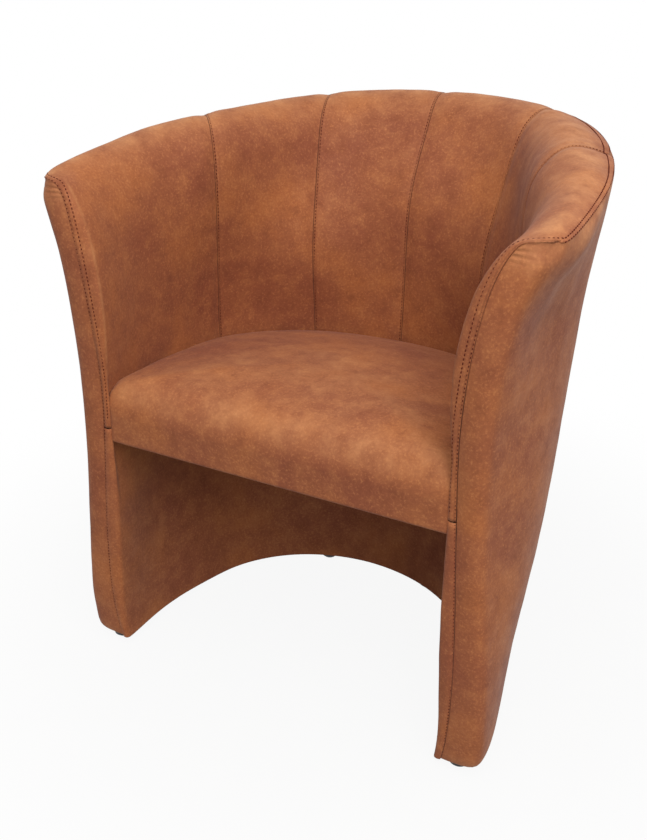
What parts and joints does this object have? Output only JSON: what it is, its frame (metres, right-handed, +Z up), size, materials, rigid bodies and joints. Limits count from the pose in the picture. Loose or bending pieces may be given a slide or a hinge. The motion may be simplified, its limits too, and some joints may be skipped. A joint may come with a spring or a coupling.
{
  "type": "cocktail chair",
  "caption": "Low upholstered tub chair with a flared, rolled rim, wrapped arms that reach the floor, a tight crowned seat and an open space under it",
  "frame": {"origin": "on the floor, in the middle of the chair's box", "axes": "+Z up, -Y towards the open front, +X to the right arm seen from the back, to the right in a view from the front"},
  "size_m": [0.682, 0.6059, 0.7556],
  "materials": {
    "hide": "mottled suede-finished tan hide",
    "foam": "open-cell upholstery foam",
    "felt": "needled wadding",
    "plywood": "unfinished birch plywood",
    "hardwood": "sawn hardwood",
    "fibreboard": "bent thin fibreboard",
    "webbing": "woven elastic webbing",
    "dust_cloth": "black non-woven cloth",
    "steel": "zinc-plated steel",
    "glide_plastic": "black moulded nylon"
  },
  "bodies": {
    "root": {"outer_cover": "hide", "arm_panel_left": "hide", "arm_panel_right": "hide", "back_panel_outer_left": "hide", "back_panel_outer_right": "hide", "back_panel_centre_left": "hide", "back_panel_centre_right": "hide", "underseat_lining": "hide", "seat_cover": "hide", "seat_foam": "foam", "back_foam": "foam", "arm_foam_left": "foam", "arm_foam_right": "foam", "arm_nose_foam_left": "foam", "arm_nose_foam_right": "foam", "rim_roll_foam": "foam", "outer_wadding": "felt", "outer_sheet": "fibreboard", "inner_lower_board": "plywood", "inner_upper_board": "plywood", "base_rail": "plywood", "seat_level_rail": "plywood", "top_rail": "plywood", "arm_front_frame_left": "plywood", "arm_front_frame_right": "plywood", "lower_stud_side_left": "hardwood", "lower_stud_side_right": "hardwood", "lower_stud_back_left": "hardwood", "lower_stud_back_right": "hardwood", "upper_stud_side_left": "hardwood", "upper_stud_side_right": "hardwood", "upper_stud_back_left": "hardwood", "upper_stud_back_right": "hardwood", "seat_ring_lower": "plywood", "seat_ring_upper": "plywood", "webbing_strap_1": "webbing", "webbing_strap_2": "webbing", "webbing_strap_3": "webbing", "webbing_strap_4": "webbing", "webbing_strap_5": "webbing", "dust_cloth": "dust_cloth", "seat_bolts": "steel", "glides": "glide_plastic"}
  },
  "joints": []
}
